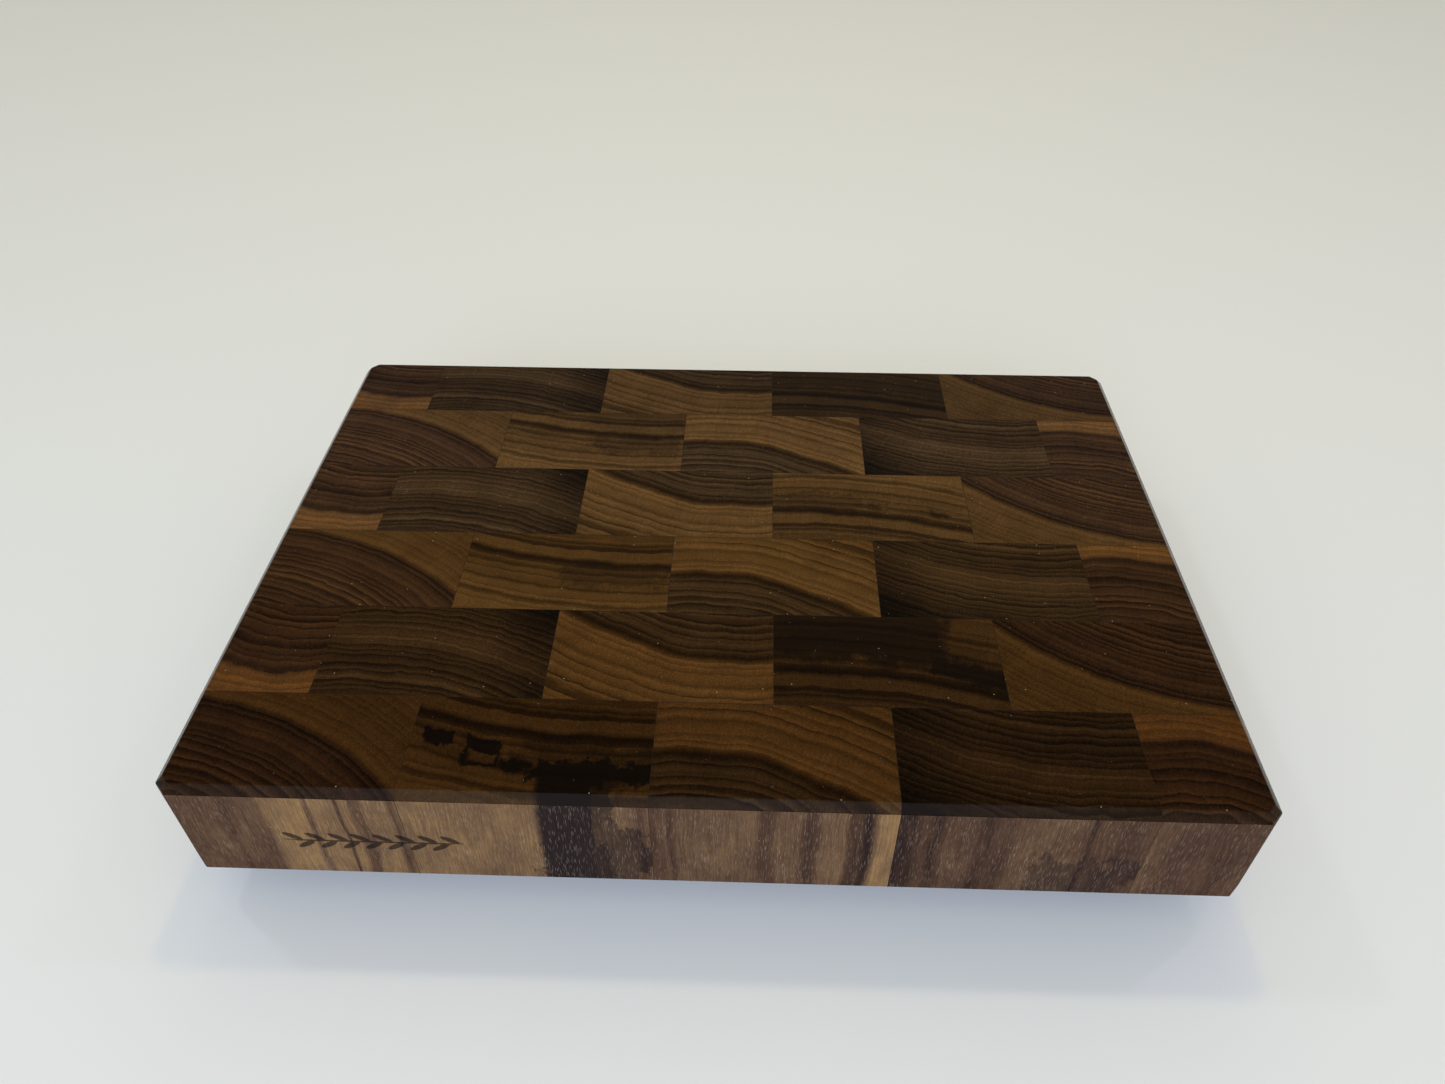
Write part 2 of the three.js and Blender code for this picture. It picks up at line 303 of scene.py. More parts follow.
STICKS = [
    Stick(
        letter="a",
        pith=(34.0, 100.0),
        tones=[
            (-6, 0.74), (3, 0.78), (8.0, 0.80), (10.8, 0.38), (12, 0.34), (15, 0.48), (24, 0.40),
            (34, 0.46), (45, 0.36),
        ],
        sawn=[
            (0, 0.42), (8, 0.48), (14, 0.40), (22, 0.47), (30, 0.42), (38, 0.50), (44, 0.56),
        ],
        colours=PLUM_WALNUT,
        ring_gap=4.4, ring_line=0.22, ring_shade=0.34, wander=6.0,
        rise={1: 2.5, 2: 0.5, 3: -1.5, 4: 1.5, 5: -1.0, 6: 1.5},
    ),
    Stick(
        letter="b",
        pith=(15.0, -124.5),
        tones=[
            (0, 0.36), (8.4, 0.42), (9.8, 0.64), (11.6, 0.42), (20, 0.40), (28, 0.46), (30.4, 0.66),
            (33, 0.52), (40, 0.50), (46, 0.44), (52, 0.38), (58, 0.26), (64, 0.18),
        ],
        sawn=[
            (0, 0.46), (10, 0.40), (19, 0.52), (21, 0.50), (22.4, 0.28), (24, 0.52), (36, 0.58),
            (48, 0.54), (52, 0.38), (56, 0.42), (60, 0.30), (64, 0.48), (73, 0.52), (77, 0.26),
            (81, 0.44), (85, 0.24), (91, 0.18),
        ],
        colours=BROWN_WALNUT,
        ring_gap=3.1, ring_line=0.16, ring_shade=0.30, wander=5.0,
        shade_from=(64.0, 92.0), shade=0.17,
        rise={1: -0.5, 2: 0.0, 3: -5.0, 4: 0.0, 5: -2.5, 6: 4.0},
        front_painted_shade={1: 0.06, 2: 0.02},
        stains={
            1: [Patch((2, 41), (38, 70), (0, 322), strength=0.5, edge=1.2, jag=50.0)],
        },
    ),
    Stick(
        letter="c",
        pith=(90.0, 179.0),
        tones=[
            (-4, 0.70), (6, 0.70), (15, 0.72), (19.4, 0.82), (20.8, 0.76), (22.4, 0.40), (23.4, 0.22),
            (24.6, 0.30), (26.6, 0.50), (30.2, 0.54), (31.4, 0.41), (32.8, 0.54), (37.2, 0.54),
            (38.4, 0.42), (39.8, 0.50), (52, 0.44),
        ],
        sawn=[
            (0, 0.84), (6.6, 0.84), (8.6, 0.50), (10, 0.16), (11.4, 0.18), (13, 0.36), (17, 0.38),
            (19.6, 0.70), (27, 0.64), (30, 0.38), (32.4, 0.36), (35, 0.58), (43, 0.58), (46, 0.42),
            (49, 0.42), (52, 0.60), (64, 0.62), (79, 0.58), (81.6, 0.36), (83, 0.55), (88, 0.42),
            (90, 0.46),
        ],
        colours=GOLDEN_WALNUT, heart=BROWN_WALNUT, heart_from=24.0,
        ring_gap=5.0, ring_line=0.46, ring_shade=0.22, faint_in_pale=0.05, wander=3.0,
        waves=((52.0, 24.0, -2.2), (92.0, 14.0, 1.6)),
        rise={1: 0.4, 2: -0.4, 3: 1.0, 4: 0.8, 5: 0.6, 6: -1.2},
    ),
    Stick(
        letter="d",
        pith=(10.0, -247.0),
        tones=[
            (0, 0.50), (5, 0.58), (8.6, 0.50), (10.2, 0.28), (12.2, 0.60), (16.6, 0.68), (18.4, 0.46),
            (19.6, 0.18), (20.8, 0.22), (23.0, 0.58), (36, 0.68), (37.2, 0.48), (38.6, 0.70),
            (44, 0.74), (45.2, 0.54), (46.6, 0.74), (60, 0.74),
        ],
        sawn=[
            (0, 0.58), (3, 0.40), (6, 0.62), (13, 0.72), (21, 0.72), (40, 0.64), (44, 0.76),
            (60, 0.72), (74, 0.78), (91, 0.74),
        ],
        colours=GOLDEN_WALNUT,
        ring_gap=4.8, ring_line=0.26, ring_shade=0.13, faint_in_pale=0.1, wander=4.0,
        rise={1: -1.0, 2: -2.0, 3: 0.4, 4: 0.0, 5: 0.0, 6: 0.0},
        front_painted_shade={1: 0.08, 2: 0.08},
        stains={
            1: [Patch((-9, 43), (29, 40)), Patch((20, 41), (36, 70), jag=8.0),
                Patch((9, 24), (36, 47), strength=0.8), Patch((43, 56), (33, 38), jag=16.0),
                Patch((57, 69), (26, 32), edge=0.6, jag=10.0),
                Patch((56, 70), (26, 38), edge=0.6, jag=9.0, rim=0.9),
                Patch((75, 88), (26, 33), edge=0.6, jag=12.0),
                Patch((-9, 45), (22, 30), strength=0.45, edge=3.0),
                Patch((1, 22), (34, 70), (0, 336), strength=0.7, jag=50.0),
                Patch((14, 42), (34, 70), (0, 322), strength=0.95, jag=40.0)],
            2: [Patch((-9, 73), (25, 80), strength=0.90, edge=7.0, jag=30.0),
                Patch((60, 99), (22, 36), strength=0.95, edge=3.0, jag=20.0),
                Patch((60, 99), (30, 46), strength=0.45, edge=5.0, jag=30.0),
                Patch((-9, 99), (-9, 80), strength=0.34, edge=4.0)],
            3: [Patch((4, 46), (21, 33), strength=0.40), Patch((38, 43), (28, 31), strength=0.5)],
            4: [Patch((2, 40), (21, 34), strength=0.44, rim=0.3),
                Patch((3, 12), (30, 34), strength=0.5, edge=1.0, jag=12.0),
                Patch((38, 50), (25, 29), strength=0.5, edge=1.0, jag=16.0),
                Patch((74, 81), (25, 29), strength=0.6, edge=1.0, jag=12.0)],
            5: [Patch((3, 44), (21, 34), strength=0.44, rim=0.3),
                Patch((-9, 50), (-9, 17), strength=0.20, edge=3.0),
                Patch((30, 44), (29, 32), strength=0.6, edge=0.8, jag=16.0)],
            6: [Patch((-9, 99), (26, 80), strength=0.74, edge=3.0),
                Patch((-9, 99), (-19, 90), strength=0.56)],
        },
    ),
    Stick(
        letter="e",
        pith=(106.0, 150.0),
        tones=[
            (-30, 0.63), (-10, 0.63), (-1.6, 0.68), (0.4, 0.30), (2.4, 0.28), (5, 0.38), (9, 0.46),
            (24, 0.46), (36, 0.42), (46, 0.36),
        ],
        sawn=[
            (0, 0.66), (2, 0.44), (4, 0.76), (12, 0.74), (14, 0.52), (17, 0.56), (19, 0.80),
            (21.6, 0.78), (22.4, 0.30), (23.4, 0.76), (32, 0.80), (33.4, 0.50), (35, 0.84),
            (46, 0.80), (49.5, 0.76), (52, 0.52), (62, 0.54), (65, 0.42), (68, 0.56), (80, 0.50),
            (89, 0.46),
        ],
        colours=GOLDEN_WALNUT, heart=PLUM_WALNUT, heart_from=0.0,
        ring_gap=3.3, ring_line=0.20, ring_shade=0.40, faint_in_pale=0.7, wander=3.0,
        rise={1: 1.7, 2: 1.5, 3: -2.2, 4: 0.0, 5: -2.0, 6: 3.5},
        front_painted_shade={1: 0.04, 2: 0.06},
    ),
]


# How often the patterns repeat in a millimetre, across and along the grain.
SLOW_BEND = (0.045, 0.004)
SMALL_BEND = (0.16, 0.012)
FIBRES = (1.4, 0.05)
STREAKS = (1.5, 0.035)
MOTTLING = (0.10, 0.07)
PORES = (1.5, 0.10)
DASHES = (4.2, 0.24)
DUSTY_PLACES = (0.08, 0.05)
SPECKS = (0.28, 0.28)
RAGGEDNESS = (0.10, 0.05)

# How far they move the tone of the ends, and then of the sides.
CLOUD_TONE = 0.24
RING_TONE = 0.10
RAY_TONE = 0.15
FIBRE_TONE = 0.72
PORE_TONE = 0.12
GLINT_TONE = 0.46
STREAK_TONE = 0.72
MOTTLE_TONE = 0.50

# How much a growth line weighs, at least and by chance, and how far rings crowd together.
LEAST_WEIGHT = 0.3
CHANCE_WEIGHT = 0.9
CROWDING = 2.4

# Rays in a millimetre round the pith, and millimetres that a stripe on a side leans at most.
RAYS_PER_MM = 1.1
STRIPE_LEAN = 9.0

# How strongly the other colours cover the wood.
STAIN_ON_ENDS = 0.94
STAIN_ON_SIDES = 0.90
BEVEL_MIX = 0.45
DASH_MIX = 0.32
SPECK_MIX = 0.6
SPECK_SIZE = 0.085
BURN_MIX = 0.8

ROUGHNESS = 0.46
FIBRE_ROUGHNESS = 0.20
BEVEL_SMOOTHNESS = 0.22
SIDE_ROUGHNESS = 0.38
PORE_ROUGHNESS = 0.12
FIBRE_RELIEF = 0.35
BEVEL_VARNISH = 0.02
END_BEVEL_VARNISH = 0.50
VARNISH_ROUGHNESS = 0.22
BARE_SHINE = 0.012
RELIEF_STRENGTH = 0.5
PORE_DEPTH = 0.05 * MM

# Millimetres along a stick from one strip to the next, with the saw cut, and its middle.
STRIP_AND_SAW_CUT = 56.0
STICK_MIDDLE = (45.0, 24.0)


def stick_place(p, block, strip):
    """Millimetres across the stick's end and along its length, from the block's own corner.
    The strips lie end to end along the stick, and every other one is turned half round."""
    low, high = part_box(block)
    turned = strip % 2 == 1
    corner = high if turned else low
    sign = -1.0 if turned else 1.0
    along = STRIP_AND_SAW_CUT * (STRIPS - strip)
    coordinates = p.node("ShaderNodeTexCoord").outputs["Object"]
    mapping = p.node("ShaderNodeMapping", {"Vector": coordinates})
    mapping.inputs["Scale"].default_value = (sign / MM, sign / MM, 1.0 / MM)
    mapping.inputs["Location"].default_value = (-sign * corner.x / MM, -sign * corner.y / MM, along)
    return mapping.outputs["Vector"]


def stain_mask(p, patch, values, jags):
    """1 inside a patch, 0 outside it, with a ragged edge. With a rim, only the edge is dark."""
    rim_width = 1.6
    mask = patch.strength
    core = 1.0
    for value, jag, (low, high) in zip(values, jags, (patch.across, patch.ring, patch.along)):
        ragged = p.add(value, p.times(jag, patch.jag))
        for end, inward in ((low, 1.0), (high, -1.0)):
            soft = inward * patch.edge
            mask = p.times(p.step(ragged, end - soft, end + soft), mask)
            if patch.rim:
                inner = end + rim_width * inward
                core = p.times(p.step(ragged, inner - soft, inner + soft), core)
    if patch.rim:
        mask = p.times(mask, p.less(1.0, p.times(core, patch.rim)))
    return mask


def wood_figure(stick):
    """The rings of a stick, as a group: a tone from 0, dark, to 1, pale, for its ends and its
    long sides, at a place in the stick."""
    outputs = {name: "Float" for name in ("Tone", "Side Tone", "Across", "Ring", "Fibre")}
    inputs = {"Place": "Vector", "Rise": "Float"}
    p, given, results = new_group(f"figure_of_stick_{stick.letter}", inputs, outputs)
    place = p.parts(given["Place"])
    u, v, w = place

    # Rings, pulled out of round by slow noise that hardly changes along the stick.
    pull = p.parts(p.noise(p.stretched(place, *SLOW_BEND), 2.0)["Color"])
    small_pull = p.parts(p.noise(p.stretched(place, *SMALL_BEND), 1.0)["Color"])
    small_wander = 1.7
    across = p.add(u, p.times(p.less(pull[0], 0.5), stick.wander))
    up = p.add(v, p.times(p.less(pull[1], 0.5), stick.wander))
    up = p.add(up, p.times(p.less(small_pull[1], 0.5), small_wander))
    pith_u, pith_v = stick.pith
    radius = p.length(p.vector(p.less(across, pith_u), p.less(up, pith_v), 0.0))
    outward = -1.0 if pith_v > 0 else 1.0
    ring = p.less(p.add(p.times(radius, outward), pith_v), given["Rise"])
    for middle, reach, height in stick.waves:
        hump = p.step(p.math("ABSOLUTE", p.less(across, middle)), reach, 0.0)
        ring = p.less(ring, p.times(hump, height))

    # Growth lines: each ring darkens outwards and ends sharply, and some are stronger.
    unevenness = p.noise(p.vector(p.times(ring, 0.11), 0.0, 0.0), 1.0)["Fac"]
    count = p.add(p.times(ring, outward / stick.ring_gap), p.times(unevenness, CROWDING))
    part = p.math("FRACT", count)
    ring_number = p.math("FLOOR", count)
    faded = p.noise(p.vector(p.times(u, 0.09), p.times(ring, 0.3), p.times(w, 0.02)), 2.0)["Fac"]
    weight = p.add(p.times(p.chance(ring_number), CHANCE_WEIGHT), LEAST_WEIGHT)
    weight = p.times(weight, p.step(faded, 0.15, 0.5))
    end_of_ring = p.step(part, 1.0, 0.80)
    line = p.times(p.times(p.math("POWER", part, 2.4), end_of_ring), stick.ring_line)
    shade = p.times(p.less(p.times(part, end_of_ring), 0.45), stick.ring_shade)
    line = p.times(p.add(line, shade), weight)

    # The stick's own tones, the clouds, rings and rays in them, and the fibres.
    low, high = stick.tones[0][0], stick.tones[-1][0]
    tone = p.ramp(ring, low, high, stick.tones)
    faint_in_pale = p.less(1.0, p.times(p.step(tone, 0.46, 0.64), stick.faint_in_pale))
    cloud = p.noise(p.vector(p.times(u, 0.06), p.times(v, 0.09), p.times(w, 0.01)), 3.0)["Fac"]
    other_draw = 40.5
    ring_tone = p.chance(p.add(ring_number, other_draw))
    angle = p.math("ARCTAN2", p.less(across, pith_u), p.less(up, pith_v))
    mean_radius = math.hypot(pith_u - STICK_MIDDLE[0], pith_v - STICK_MIDDLE[1])
    round_pith = p.times(angle, mean_radius * RAYS_PER_MM)
    ray_place = p.vector(round_pith, p.times(ring, 0.10), p.times(w, 0.05))
    rays = p.less(p.noise(ray_place, 2.0)["Fac"], 0.5)
    fibre = p.less(p.noise(p.stretched(place, *FIBRES), 4.0, 0.75)["Fac"], 0.5)
    ringed_tone = p.less(tone, p.times(line, faint_in_pale))
    tone = p.add(ringed_tone, p.times(p.less(cloud, 0.5), CLOUD_TONE))
    tone = p.add(tone, p.times(p.less(ring_tone, 0.5), RING_TONE))
    tone = p.add(tone, p.times(rays, RAY_TONE))
    tone = p.add(tone, p.times(fibre, FIBRE_TONE))
    tone = p.less(tone, p.times(p.step(u, *stick.shade_from), stick.shade))

    # On the front and back, stripes that lean a little. On the board's two ends, the rings.
    lean = p.noise(p.vector(p.times(u, 0.03), 7.0, p.times(w, 0.018)), 2.0)["Fac"]
    leaning = p.add(u, p.times(p.less(lean, 0.5), STRIPE_LEAN))
    stripes = p.ramp(leaning, stick.sawn[0][0], stick.sawn[-1][0], stick.sawn)
    streaks = p.less(p.noise(p.stretched((leaning, v, w), *STREAKS), 4.0, 0.7)["Fac"], 0.5)
    mottle = p.less(p.noise(p.stretched(place, *MOTTLING), 5.0, 0.7)["Fac"], 0.5)
    normal_x = p.parts(p.node("ShaderNodeNewGeometry").outputs["Normal"])[0]
    on_end = p.step(p.math("ABSOLUTE", normal_x), 0.5, 0.9)
    bands = p.add(stripes, p.times(on_end, p.less(ringed_tone, stripes)))
    side_tone = p.add(p.add(bands, p.times(streaks, STREAK_TONE)), p.times(mottle, MOTTLE_TONE))
    values = {"Tone": tone, "Side Tone": side_tone, "Across": across, "Ring": ring}
    return finish_group(p, results, {**values, "Fibre": fibre})


def ragged_edges():
    """Three slow noises about 0, as a group, which make the edges of stains ragged."""
    outputs = {"Across": "Float", "Ring": "Float", "Along": "Float"}
    p, given, results = new_group("ragged_edges", {"Place": "Vector"}, outputs)
    u, v, w = p.parts(p.stretched(p.parts(given["Place"]), *RAGGEDNESS))
    values = {}
    for title, start in (("Across", 0.0), ("Ring", 60.0), ("Along", 120.0)):
        slow_place = p.vector(p.add(u, start), v, w)
        values[title] = p.less(p.noise(slow_place, 5.0, 0.66)["Fac"], 0.5)
    return finish_group(p, results, values)


def wood_surface(stick):
    """The cut and oiled surface of a stick, as a group: its colour, roughness and relief."""
    titles = ("Tone", "Side Tone", "Ring", "Fibre", "Stained")
    inputs = {"Place": "Vector", "Painted Light": "Color"} | {title: "Float" for title in titles}
    outputs = {"Colour": "Color"}
    outputs |= {title: "Float" for title in ("Roughness", "Varnish", "Relief", "Side")}
    p, given, results = new_group(f"surface_of_stick_{stick.letter}", inputs, outputs)
    place = p.parts(given["Place"])
    stained = given["Stained"]

    # Pores: round on the end grain, and some of them get a painted glint, a pale tone that stands in
    # for a highlight.
    to_pore, pore_colour = p.cells(p.stretched(place, *PORES))
    pore_kind = p.parts(pore_colour)
    open_pore = p.times(p.step(to_pore, 0.36, 0.16), p.step(pore_kind[0], 0.30, 0.45))
    glint = p.times(open_pore, p.math("POWER", pore_kind[1], 3.0))
    tone = p.less(given["Tone"], p.times(open_pore, PORE_TONE))
    tone = p.add(tone, p.times(glint, GLINT_TONE))
    end_colour = p.ramp(tone, 0.0, 1.0, stick.colours)
    if stick.heart:
        is_heart = p.step(given["Ring"], stick.heart_from - 2.0, stick.heart_from + 3.0)
        end_colour = p.mix(is_heart, end_colour, p.ramp(tone, 0.0, 1.0, stick.heart))
    end_colour = p.mix(p.times(stained, STAIN_ON_ENDS), end_colour, MINERAL_STAIN)

    # The bevels are dark all along. Painted shade and a painted bluish reflection show on the top,
    # strip by strip.
    normal = p.parts(p.node("ShaderNodeNewGeometry").outputs["Normal"])
    level = p.math("ABSOLUTE", normal[2])
    is_level = p.step(level, 0.80, 0.95)
    end_colour = p.mix(is_level, p.mix(BEVEL_MIX, end_colour, BEVEL_WALNUT), end_colour)
    end_colour = p.mix(is_level, end_colour, given["Painted Light"], "MULTIPLY")

    # Cut along the grain, the wood is paler and greyer, with pale dashes in its pores.
    to_dash, dash_colour = p.cells(p.stretched(place, *DASHES))
    dash = p.times(p.step(to_dash, 0.5, 0.2), p.step(p.parts(dash_colour)[0], 0.58, 0.72))
    dust = p.noise(p.stretched(place, *DUSTY_PLACES), 3.0)["Fac"]
    dash = p.times(dash, p.add(0.55, p.times(p.step(dust, 0.40, 0.65), 0.6)))
    side_colour = p.ramp(given["Side Tone"], 0.0, 1.0, SAWN_ALONG)
    side_colour = p.mix(p.times(stained, STAIN_ON_SIDES), side_colour, SAWN_STAIN)
    side_colour = p.mix(p.times(dash, DASH_MIX), side_colour, PALE_PORE)
    is_side = p.step(level, 0.55, 0.30)
    colour = p.mix(is_side, end_colour, side_colour)

    # A few pores hold pale specks, partly dust and partly a painted glint.
    to_speck, speck_colour = p.cells(p.stretched(place, *SPECKS))
    speck_size = p.times(p.math("POWER", p.parts(speck_colour)[0], 2.4), SPECK_SIZE)
    speck = p.times(p.math("LESS_THAN", to_speck, speck_size), SPECK_MIX)
    colour = p.mix(speck, colour, PALE_DUST_AND_GLINT)

    # Smoother on the bevels, and rougher on the sides and in the pores.
    rough = p.add(ROUGHNESS, p.times(given["Fibre"], FIBRE_ROUGHNESS))
    rough = p.less(rough, p.times(p.step(level, 0.95, 0.80), BEVEL_SMOOTHNESS))
    rough = p.add(rough, p.times(is_side, SIDE_ROUGHNESS))
    rough = p.add(rough, p.times(open_pore, PORE_ROUGHNESS))
    relief = p.less(p.times(given["Fibre"], FIBRE_RELIEF), open_pore)

    # The hand-sanded bevels took more of the finish, most of all at the board's two ends.
    is_bevel = p.times(p.less(1.0, is_level), p.less(1.0, is_side))
    faces_end = p.step(p.math("ABSOLUTE", normal[0]), 0.45, 0.60)
    varnish = p.add(BEVEL_VARNISH, p.times(faces_end, END_BEVEL_VARNISH))
    varnish = p.times(is_bevel, varnish)
    values = {"Colour": colour, "Roughness": rough, "Varnish": varnish}
    values |= {"Relief": relief, "Side": is_side}
    return finish_group(p, results, values)


# The sprig is burnt across a joint of the front strip: its middle across each of the two
# sticks, and along them.
BURNT_STRIP = 1
BURNT_ACROSS = {"e": 13.3, "d": 104.7}
BURNT_ALONG = 322.0


def burnt_sprig(p, place, middle_across):
    """A sprig burnt into the front edge: a stem with leaves, in the stick's own frame."""
    leaf_gap = 8.5
    leaves = 8
    u, _, w = p.parts(place)
    x = p.less(u, middle_across)
    height = p.math("ABSOLUTE", p.less(w, BURNT_ALONG))
    # The leaves of the two sides alternate, so one side has a leaf less.
    shift = p.times(p.math("LESS_THAN", w, BURNT_ALONG), 0.5)
    half_length = p.less(0.5 * leaf_gap * leaves, p.times(shift, leaf_gap))
    inside = p.math("LESS_THAN", p.math("ABSOLUTE", x), half_length)
    from_gap = p.math("FRACT", p.add(p.times(x, 1.0 / leaf_gap), shift))
    in_gap = p.times(p.less(from_gap, 0.5), leaf_gap)
    lean = math.radians(33)
    leaf_middle = (0.3, 2.5)
    half_leaf = (4.1, 1.35)
    off_x = p.less(in_gap, leaf_middle[0])
    off_z = p.less(height, leaf_middle[1])
    lengthways = p.add(p.times(off_x, math.cos(lean)), p.times(off_z, math.sin(lean)))
    crossways = p.less(p.times(off_z, math.cos(lean)), p.times(off_x, math.sin(lean)))
    to_tip, to_edge = (1.0 / half for half in half_leaf)
    far = p.length(p.vector(p.times(lengthways, to_tip), p.times(crossways, to_edge), 0.0))
    leaf = p.step(far, 1.12, 0.88)
    stem = p.step(height, 0.65, 0.35)
    return p.times(inside, p.math("MAXIMUM", leaf, stem))


def walnut(block, stick, strip, groups):
    """Solid walnut: the rings show on the ends of the block and run up its sides as stripes."""
    material, p, shader = new_material(f"walnut_{stick.letter}_strip{strip}")
    place = stick_place(p, block, strip)
    figure_inputs = {"Place": place, "Rise": stick.rise.get(strip, 0.0)}
    figure = p.node("ShaderNodeGroup", figure_inputs, node_tree=groups["figure"]).outputs
    stained = 0.0
    patches = stick.stains.get(strip, [])
    if patches:
        edges = p.node("ShaderNodeGroup", {"Place": place}, node_tree=groups["edges"]).outputs
        values = (figure["Across"], figure["Ring"], p.parts(place)[2])
        jags = (edges["Across"], edges["Ring"], edges["Along"])
        for patch in patches:
            stained = p.math("MAXIMUM", stain_mask(p, patch, values, jags), stained)
    surface_inputs = {
        "Place": place,
        # This strip's painted shade and painted bluish reflection, for its top.
        "Painted Light": (*PAINTED_LIGHT_BY_STRIP[strip], 1.0),
        # Painted shade on the front strips.
        "Tone": p.less(figure["Tone"], stick.front_painted_shade.get(strip, 0.0)),
        "Side Tone": figure["Side Tone"],
        "Ring": figure["Ring"],
        "Fibre": figure["Fibre"],
        "Stained": stained,
    }
    surface = p.node("ShaderNodeGroup", surface_inputs, node_tree=groups["surface"]).outputs
    colour = surface["Colour"]
    if strip == BURNT_STRIP and stick.letter in BURNT_ACROSS:
        sprig = burnt_sprig(p, place, BURNT_ACROSS[stick.letter])
        colour = p.mix(p.times(p.times(sprig, surface["Side"]), BURN_MIX), colour, BURNT)
    p.feed(shader.inputs["Base Color"], colour)
    p.feed(shader.inputs["Roughness"], surface["Roughness"])
    shader.inputs["Specular IOR Level"].default_value = BARE_SHINE
    p.feed(shader.inputs["Coat Weight"], surface["Varnish"])
    shader.inputs["Coat Roughness"].default_value = VARNISH_ROUGHNESS
    p.raise_surface(shader, surface["Relief"], RELIEF_STRENGTH, PORE_DEPTH)
    return material


# --- Other materials ---

def fine_grain(p, per_metre):
    """Noise from 0 to 1 on the object's own coordinates, repeated per_metre times a metre."""
    place = p.node("ShaderNodeTexCoord").outputs["Object"]
    scaled = p.node("ShaderNodeMapping", {"Vector": place, "Scale": (per_metre,) * 3}).outputs[0]
    return p.noise(scaled, 3.0)["Fac"]


def dried_glue():
    """Brown glue, about as dark as the growth lines."""
    material, p, shader = new_material("dried_glue")
    stops = [(0.3, (0.010, 0.006, 0.004)), (0.7, (0.022, 0.013, 0.008))]
    p.feed(shader.inputs["Base Color"], p.ramp(fine_grain(p, 400), 0.0, 1.0, stops))
    shader.inputs["Roughness"].default_value = 0.6
    shader.inputs["Specular IOR Level"].default_value = 0.05
    return material


def foot_rubber():
    """Black rubber with a fine moulded grain."""
    material, p, shader = new_material("foot_rubber")
    grain = fine_grain(p, 1800)
    stops = [(0.3, (0.010, 0.010, 0.011)), (0.7, (0.020, 0.020, 0.021))]
    p.feed(shader.inputs["Base Color"], p.ramp(grain, 0.0, 1.0, stops))
    p.feed(shader.inputs["Roughness"], p.add(0.62, p.times(grain, 0.2)))
    shader.inputs["Specular IOR Level"].default_value = 0.3
    p.raise_surface(shader, grain, 0.4, 0.05 * MM)
    return material


def steel(name, colour, roughness):
    """Bare or plated steel, a little uneven in colour and gloss."""
    material, p, shader = new_material(name)
    grain = fine_grain(p, 900)
    stops = [(0.25, tuple(0.85 * part for part in colour)), (0.75, colour)]
    p.feed(shader.inputs["Base Color"], p.ramp(grain, 0.0, 1.0, stops))
    shader.inputs["Metallic"].default_value = 1.0
    p.feed(shader.inputs["Roughness"], p.add(roughness, p.times(grain, 0.12)))
    return material


# --- Board ---

SANDED_EDGE = 0.4 * MM


def solid_from(node):
    """A merged copy of a node's mesh, with the flat faces whole, as a bmesh."""
    made = bmesh.new()
    made.from_mesh(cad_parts[node].data)
    bmesh.ops.remove_doubles(made, verts=made.verts, dist=0.002 * MM)
    bmesh.ops.dissolve_limit(
        made, angle_limit=math.radians(0.5), verts=made.verts, edges=made.edges
    )
    return made


def mesh_from(made, name):
    """A mesh from a bmesh, which is used up."""
    mesh = bpy.data.meshes.new(name)
    made.to_mesh(mesh)
    made.free()
    return mesh


def placed(name, content):
    """A new object in the scene for a mesh, a lamp or a camera."""
    made = bpy.data.objects.new(name, content)
    bpy.context.scene.collection.objects.link(made)
    return made


def object_from(made, name, material, node):
    """Finishes a bmesh as a piece of the board that stands for a node."""
    piece = placed(name, mesh_from(made, name))
    piece.data.materials.append(material)
    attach(piece, "root")
    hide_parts(node)
    return piece


def is_outer(face):
    """True for the faces that the finished board shows: its top, underside, rim and chamfers."""
    slope = 0.1
    near_rim = 0.5 * MM
    normal = face.normal
    centre = face.calc_center_median()
    if abs(normal.z) > slope:
        return True
    reach = max(abs(centre.x) - BOARD_HIGH.x, abs(centre.y) - BOARD_HIGH.y)
    is_corner_cut = abs(normal.x) > slope and abs(normal.y) > slope
    return is_corner_cut or reach > -near_rim


def ease_arrises(made, width):
    """Sands a small round on every edge where two outer faces meet."""
    least_turn = math.radians(20)
    sharp = []
    for edge in made.edges:
        faces = edge.link_faces
        if len(faces) == 2 and all(is_outer(face) for face in faces):
            if faces[0].normal.angle(faces[1].normal) > least_turn:
                sharp.append(edge)
    bmesh.ops.bevel(
        made, geom=sharp, offset=width, offset_type="OFFSET", segments=2, profile=0.5,
        affect="EDGES", material=-1, clamp_overlap=True,
    )


def build_blocks():
    edges = ragged_edges()
    for stick in STICKS:
        groups = {"figure": wood_figure(stick), "surface": wood_surface(stick), "edges": edges}
        for strip in range(1, STRIPS + 1):
            node = f"strip{strip}_block_{stick.letter}"
            made = solid_from(node)
            ease_arrises(made, SANDED_EDGE)
            material = walnut(node, stick, strip, groups)
            name = f"walnut_{strip}{stick.letter}"
            object_from(made, name, material, node)


build_blocks()
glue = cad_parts["glue_lines"]
glue.data.materials.clear()
glue.data.materials.append(dried_glue())


# --- Feet ---

# Millimetres from the floor and from the axis of a foot.
FOOT_HEIGHT = 19.0
FOOT_BOTTOM_RADIUS = 13.0
FOOT_BOTTOM_ROUND = 1.6
FOOT_TOP_RADIUS = 15.5
FOOT_TOP_ROUND = 0.6
FOOT_FLANK_TOP = 18.0
GROOVE_HEIGHTS = (7.0, 11.0)
GROOVE_ROUND = 0.5
RECESS_RADIUS = 7.2
RECESS_ROUND = 0.8
SEAT = 13.0
BORE_RADIUS = 2.4

WASHER_RADIUS = 6.9
WASHER_BOTTOM = 11.8
WASHER_EDGE = 0.2

